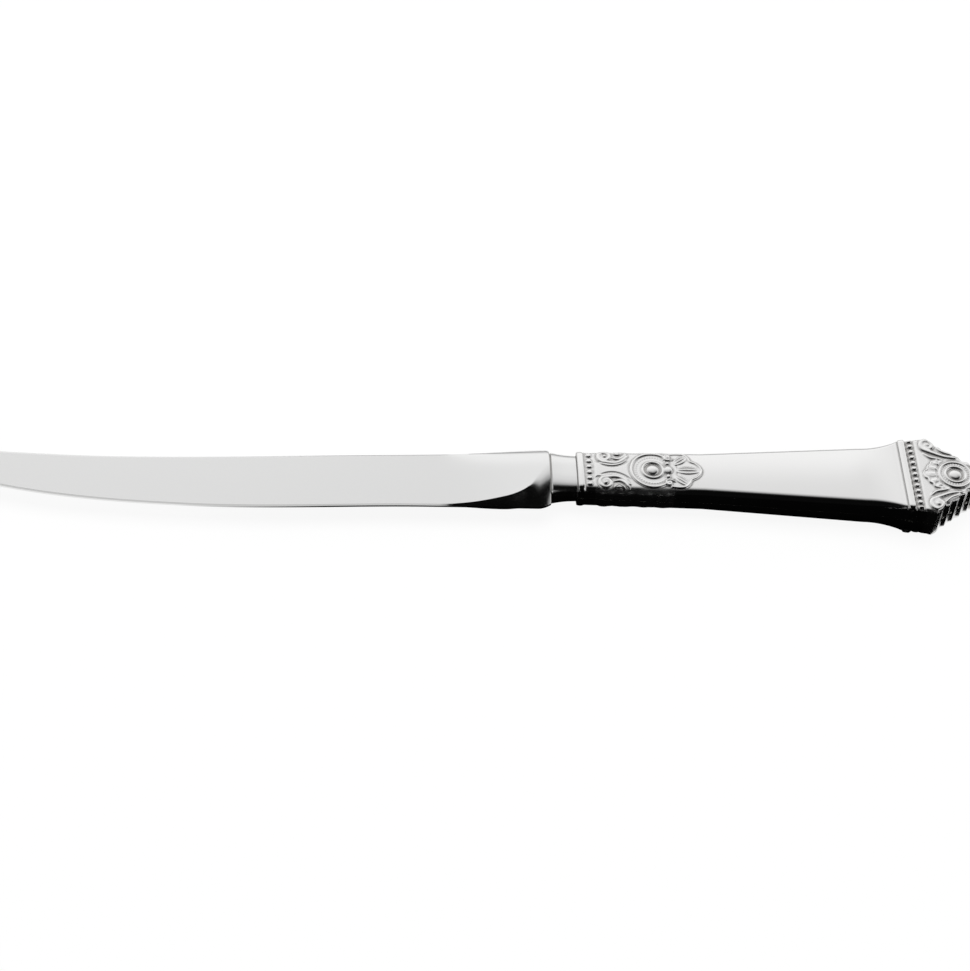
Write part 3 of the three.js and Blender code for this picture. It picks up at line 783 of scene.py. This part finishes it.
# Over the corner the ornament fades out. A trace of the mouldings runs on down the narrow sides, and the
# collar's sides are lobed
lobes_start = 4.4
lobes_end = 21.2
lobe_pitch = 4.2
lobe_height = 0.12
collar_moulding_end = 3.9
butt_moulding = (72.5, 77.3)
in_butt_moulding = (along > butt_moulding[0]) & (along < butt_moulding[1])
in_moulding = (along < collar_moulding_end) | in_butt_moulding
fading = np.where(in_moulding, 0.85, 0.97) * ease(1.2 * roll_share - 0.2)
relief = softened(relief, passes=2) * (1 - fading)
lobes = lobe_height * (1 - np.cos(2 * np.pi * (along - lobes_start) / lobe_pitch))
lobed_side = np.where((along > lobes_start) & (along < lobes_end), lobes, 0)
relief = relief + lobed_side * ease(1.6 * roll_share - 0.4)

# How far each point lies in a hollow of the ornament or stands proud of it, for the tarnish and the shine
full_depth = 0.13
field_recess = 0.2
mean_relief = softened(relief, passes=24)
recess = np.clip((mean_relief - relief) / full_depth, 0, 1)
proud = np.clip((relief - mean_relief) / full_depth, 0, 1)
collar_ornament_end = 21.5
in_collar = (along > collar_field) & (along < collar_ornament_end)
in_ornament = in_collar | in_leaf & (side < leaf_half) | (along > butt_moulding[1])
recess = np.maximum(recess, np.where(in_ornament, field_recess * (1 - 0.6 * proud), 0))
shell_y = np.sign(over) * (plain_y + relief * np.sin(tilt))
shell_z = plain_z + relief * np.cos(tilt)
shell_front = add_sheet("shell_front", np.stack([along, shell_y, shell_z], axis=2))
for attribute_name, field in (("recess", recess), ("proud", proud)):
    attribute = shell_front.data.attributes.new(attribute_name, "FLOAT", "POINT")
    attribute.data.foreach_set("value", field.astype(np.float32).ravel())

# The wall: the edge of the stamped sheet is turned in and up, round the hollow that the cement fills
wall = 0.7
gable_wall = 1.2
roof_wall = 0.85
hollow_end = 85.5
hollow_end_half = np.interp(hollow_end, stations, half_width)
hollow_end_share = (hollow_end_half - gable_wall) / hollow_end_half
mouth_rim_share = (mouth_half[0] - wall) / mouth_half[0]
mouth_roof_share = (mouth_half[1] - roof_wall - seam_half) / (mouth_half[1] - seam_half)
mouth_edge = 1e-3


def turned_in(point):
    """Where an edge point of the sheet lies on the inner edge of the wall."""
    x, y, z = point
    if x < mouth_edge:
        return x, y * mouth_rim_share, seam_half + (z - seam_half) * mouth_roof_share
    if x >= hollow_end:
        return hollow_end, y * hollow_end_share, z
    inset = gable_wall if x > gable_at else wall
    return x, math.copysign(max(abs(y) - inset, 0), y), z


def raised_roof(point):
    """Where an inner edge point lies at the top of the hollow."""
    x, y, _ = point
    return x, y, along_handle(np.array(x), 1) - roof_wall


bpy.ops.object.mode_set(mode="EDIT")
bpy.ops.mesh.select_all(action="SELECT")
bpy.ops.mesh.remove_doubles(threshold=merge_distance)
bpy.ops.mesh.select_all(action="DESELECT")
bpy.ops.mesh.select_mode(type="EDGE")
bpy.ops.mesh.select_non_manifold(
    extend=False, use_wire=False, use_multi_face=False, use_non_contiguous=False, use_verts=False)
for move in (turned_in, raised_roof):
    bpy.ops.mesh.extrude_edges_move()
    edited = bmesh.from_edit_mesh(shell_front.data)
    for vertex in edited.verts:
        if vertex.select:
            drawn = np.array(vertex.co) / mm - [mouth_x, 0, seam_z]
            vertex.co = (np.array(move(drawn), float) + [mouth_x, 0, seam_z]) * mm
    bmesh.update_edit_mesh(shell_front.data)
bpy.ops.mesh.edge_face_add()
bpy.ops.mesh.select_all(action="SELECT")
bpy.ops.mesh.normals_make_consistent(inside=False)
bpy.ops.mesh.select_mode(type="VERT")
bpy.ops.object.mode_set(mode="OBJECT")
shade(shell_front, angle=60)

# The other half comes from the same die, turned over about the seam
shell_back = shell_front.copy()
shell_back.data = shell_front.data.copy()
shell_back.name = shell_back.data.name = "shell_back"
bpy.context.collection.objects.link(shell_back)
seam_point = Matrix.Translation((0, 0, seam_z * mm))
shell_back.data.transform(seam_point @ Matrix.Rotation(math.pi, 4, "X") @ seam_point.inverted())

# Polished silver, worn bright where it stands proud, tarnished and duller in the hollows
silver_colour = (0.835, 0.832, 0.828)
silver_bright = (0.885, 0.88, 0.87)
silver_tarnish = (0.2, 0.18, 0.157)
most_tarnish = 0.45
silver_roughness = (0.1, 0.15)
hollow_roughness = 0.32
wipe_bump = 0.03
silver, silver_tree, silver_shader, silver_place = new_finish("polished_silver")
silver_shader.inputs["Metallic"].default_value = 1
recess_node = silver_tree.nodes.new("ShaderNodeAttribute")
recess_node.attribute_name = "recess"
proud_node = silver_tree.nodes.new("ShaderNodeAttribute")
proud_node.attribute_name = "proud"
silver_marks = place_group(silver_tree, handling, silver_place, Scale=70.0)
wipe_lines = place_group(silver_tree, hairlines, silver_place, Angle=0.25, Fineness=0.8)
cross_lines = place_group(silver_tree, hairlines, silver_place, Angle=-0.6, Fineness=0.7)
worn_bright = blended(silver_tree, proud_node.outputs["Fac"], silver_colour, silver_bright)
tarnish_share = spread(silver_tree, recess_node.outputs["Fac"], 0.15, 0.95, 0, most_tarnish)
silver_look = blended(silver_tree, tarnish_share, worn_bright, silver_tarnish)
silver_tree.links.new(silver_look, silver_shader.inputs["Base Color"])
silver_gloss = spread(silver_tree, silver_marks, 0, 1, *silver_roughness)
hollow_gloss = spread(silver_tree, recess_node.outputs["Fac"], 0, 0.5, 0, hollow_roughness)
silver_rough = math_node(silver_tree, "ADD", silver_gloss, hollow_gloss)
silver_tree.links.new(silver_rough, silver_shader.inputs["Roughness"])
all_lines = math_node(silver_tree, "ADD", wipe_lines, cross_lines)
bump(silver_tree, silver_shader, all_lines, wipe_bump, hair_depth)
for shell, node in ((shell_front, "handle_front"), (shell_back, "handle_back")):
    dress(shell, silver)
    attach(shell, "root")
    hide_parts(node)


# The solder is a hair-thin strip of silver solder between the shells' edges, flush with them and filed
# smooth, a little duller and warmer than the silver.

solder_colour = (0.66, 0.645, 0.61)
solder_dull = (0.5, 0.48, 0.44)
solder_roughness = (0.15, 0.25)
solder_bump = 0.1
solder, solder_tree, solder_shader, solder_place = new_finish("silver_solder")
solder_shader.inputs["Metallic"].default_value = 1
solder_marks = place_group(solder_tree, handling, solder_place, Scale=400.0)
solder_look = blended(solder_tree, solder_marks, solder_colour, solder_dull)
solder_tree.links.new(solder_look, solder_shader.inputs["Base Color"])
solder_rough = spread(solder_tree, solder_marks, 0, 1, *solder_roughness)
solder_tree.links.new(solder_rough, solder_shader.inputs["Roughness"])
file_lines = place_group(solder_tree, hairlines, solder_place, Angle=0.1, Fineness=1.0)
bump(solder_tree, solder_shader, file_lines, solder_bump, hair_depth)
dress(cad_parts["solder_seam"], solder)


# The table is a plain white floor that glows for the eye and for reflections, and still takes a soft
# shadow. A dark card lies under the knife's near side and in front of it, fading in along the blade and
# cut back round the gable, and only the polished metal sees it.

floor_size = 6.0
floor_colour = (0.86, 0.86, 0.86)
floor_glow = 0.92
bpy.ops.object.select_all(action="DESELECT")
bpy.ops.mesh.primitive_plane_add(size=floor_size, location=(0, 0, 0))
floor = bpy.context.object
floor.name = "floor"
floor_finish = bpy.data.materials.new("white_table")
floor_finish.use_nodes = True
floor_tree = floor_finish.node_tree
floor_tree.nodes.remove(floor_tree.nodes["Principled BSDF"])
floor_matt = floor_tree.nodes.new("ShaderNodeBsdfDiffuse")
floor_matt.inputs["Color"].default_value = (*floor_colour, 1)
floor_white = floor_tree.nodes.new("ShaderNodeEmission")
floor_path = floor_tree.nodes.new("ShaderNodeLightPath").outputs
seen = math_node(floor_tree, "MAXIMUM", floor_path["Is Camera Ray"], floor_path["Is Glossy Ray"])
seen = math_node(floor_tree, "MAXIMUM", seen, floor_path["Is Transmission Ray"])
floor_mix = floor_tree.nodes.new("ShaderNodeMixShader")
floor_tree.links.new(math_node(floor_tree, "MULTIPLY", seen, floor_glow), floor_mix.inputs["Fac"])
floor_tree.links.new(floor_matt.outputs["BSDF"], floor_mix.inputs[1])
floor_tree.links.new(floor_white.outputs["Emission"], floor_mix.inputs[2])
floor_tree.links.new(floor_mix.outputs["Shader"], floor_tree.nodes["Material Output"].inputs["Surface"])
floor.data.materials.append(floor_finish)

card_left = -0.063
card_fade = 0.034
card_right = 0.15
card_back = 0.003
card_front = -3.0
card_spread = 1.5
card_gap = 0.0007
card_step = 0.6
card_lift = 0.0003
card_black = 0.001
card_edge = [
    (card_left, card_back),
    ((mouth_x + gable_at - card_step) * mm, card_back),
    ((mouth_x + gable_at) * mm, -gable_half * mm - card_gap),
    ((mouth_x + touch_at) * mm + card_gap, -touch_half * mm - card_gap),
    (card_right, card_back),
    (card_spread, card_front),
    (-card_spread, card_front),
]
bpy.ops.object.select_all(action="DESELECT")
bpy.ops.mesh.primitive_circle_add(
    vertices=len(card_edge), radius=1, fill_type="NGON", location=(0, 0, 0))
card = bpy.context.object
card.name = "dark_card"
for vertex, (x, y) in zip(card.data.vertices, card_edge):
    vertex.co = (x, y, card_lift)
card_finish, card_tree, card_shader, card_place = new_finish("dark_card")
card_split = card_tree.nodes.new("ShaderNodeSeparateXYZ")
card_tree.links.new(card_place, card_split.inputs["Vector"])
card_solid = spread(card_tree, card_split.outputs["X"], card_left, card_left + card_fade, 0, 1)
card_tree.links.new(card_solid, card_shader.inputs["Alpha"])
card_shader.inputs["Base Color"].default_value = (card_black, card_black, card_black, 1)
card_shader.inputs["Roughness"].default_value = 1
card_shader.inputs["Specular IOR Level"].default_value = 0
card.data.materials.append(card_finish)
card.visible_camera = False
card.visible_diffuse = False
card.visible_transmission = False
card.visible_shadow = False


# The light is a white studio: bright behind the knife and above it, with pale walls to the left and
# right, falling off to a dark room behind the camera with a fill on each side of it. One wide soft lamp
# overhead lights the table, and the metal doesn't show it.

# How bright the studio is, as (how far a direction points to the back, level)
studio_levels = [
    (-1.0, 0.003), (-0.3, 0.002), (-0.12, 0.04), (0.12, 0.45),
    (0.36, 0.73), (0.56, 0.86), (0.77, 1.06), (1.0, 1.1),
]
right_shading = 0.45
wall_level = 0.75
horizon_level = 0.25
world = bpy.data.worlds.new("studio")
bpy.context.scene.world = world
world.use_nodes = True
sky = world.node_tree
sky_glow = sky.nodes["Background"]
sky_glow.inputs["Color"].default_value = (1, 1, 1, 1)
sky_split = sky.nodes.new("ShaderNodeSeparateXYZ")
sky.links.new(sky.nodes.new("ShaderNodeTexCoord").outputs["Generated"], sky_split.inputs["Vector"])
rightward = sky_split.outputs["X"]
backward = sky_split.outputs["Y"]
upward = sky_split.outputs["Z"]

ramp = sky.nodes.new("ShaderNodeValToRGB")
ramp.color_ramp.interpolation = "EASE"
for i, (way_back, level) in enumerate(studio_levels):
    stop = ramp.color_ramp.elements[i] if i < 2 else ramp.color_ramp.elements.new(1)
    stop.position = (way_back + 1) / 2
    stop.color = (level, level, level, 1)
right_shade = spread(sky, rightward, 0.2, 0.7, 0, right_shading)
right_shade = math_node(sky, "MULTIPLY", right_shade, spread(sky, upward, 0.6, 0.75, 0, 1))
shaded_back = math_node(sky, "SUBTRACT", backward, right_shade)
sky.links.new(spread(sky, shaded_back, -1, 1, 0, 1), ramp.inputs["Fac"])

left_fill = spread(sky, rightward, -0.45, -0.65, 0, 1)
right_fill = spread(sky, rightward, 0.45, 0.65, 0, 1)
behind_camera = spread(sky, backward, -0.2, -0.5, 0, 1)
below_lens = spread(sky, upward, 0.48, 0.58, 1, 0)
behind_camera = math_node(sky, "MULTIPLY", behind_camera, below_lens)
fill_light = math_node(sky, "MAXIMUM", left_fill, right_fill)
fill_light = math_node(sky, "MULTIPLY", fill_light, behind_camera)
sideways = math_node(sky, "ABSOLUTE", rightward, 0)
side_walls = spread(sky, sideways, 0.7, 0.88, 0, wall_level)
fill_light = math_node(sky, "MAXIMUM", fill_light, side_walls)
horizon = spread(sky, upward, 0.08, 0.42, horizon_level, 1)
studio = math_node(sky, "MAXIMUM", ramp.outputs["Color"], fill_light)
studio = math_node(sky, "MULTIPLY", studio, horizon)

# The camera sees plain white round the table
sky_path = sky.nodes.new("ShaderNodeLightPath")
level_mix = sky.nodes.new("ShaderNodeMix")
sky.links.new(sky_path.outputs["Is Camera Ray"], level_mix.inputs["Factor"])
sky.links.new(studio, level_mix.inputs["A"])
level_mix.inputs["B"].default_value = 1
sky.links.new(level_mix.outputs["Result"], sky_glow.inputs["Strength"])

lamp_width = 1.2
lamp_depth = 0.9
lamp_power = 14.0
lamp_place = (0, 0.25, 1.1)
lamp_lean = math.radians(-12)
lamp_data = bpy.data.lights.new("overhead", "AREA")
lamp_data.shape = "RECTANGLE"
lamp_data.size = lamp_width
lamp_data.size_y = lamp_depth
lamp_data.energy = lamp_power
lamp = bpy.data.objects.new("overhead", lamp_data)
lamp.location = lamp_place
lamp.rotation_euler = (lamp_lean, 0, 0)
lamp.visible_glossy = False
bpy.context.collection.objects.link(lamp)


# The camera looks down on the knife from the front, turned a little, so that the tip and the butt run
# out of the picture as they do in the photograph.

picture_width = 970
focal_pixels = 2500
sensor = 36.0
near_clip = 0.01
view_middle = Vector((5.676, -2.733, 4.65)) * mm
view_distance = 554.5 * mm
view_azimuth = math.radians(-6.34)
view_elevation = math.radians(48.0)
view_roll = math.radians(6.0)

to_camera = Vector((
    math.sin(view_azimuth) * math.cos(view_elevation),
    -math.cos(view_azimuth) * math.cos(view_elevation),
    math.sin(view_elevation),
))
level_right = (-to_camera).cross(Vector((0, 0, 1))).normalized()
level_up = level_right.cross(-to_camera)
right = math.cos(view_roll) * level_right + math.sin(view_roll) * level_up
up = math.cos(view_roll) * level_up - math.sin(view_roll) * level_right
camera_data = bpy.data.cameras.new("camera")
camera_data.sensor_fit = "HORIZONTAL"
camera_data.sensor_width = sensor
camera_data.lens = focal_pixels / picture_width * sensor
camera_data.clip_start = near_clip
camera = bpy.data.objects.new("camera", camera_data)
bpy.context.collection.objects.link(camera)
camera_turn = Matrix((right, up, to_camera)).transposed().to_4x4()
camera.matrix_world = Matrix.Translation(view_middle + view_distance * to_camera) @ camera_turn
bpy.context.scene.camera = camera
bpy.context.scene.view_settings.view_transform = "Standard"
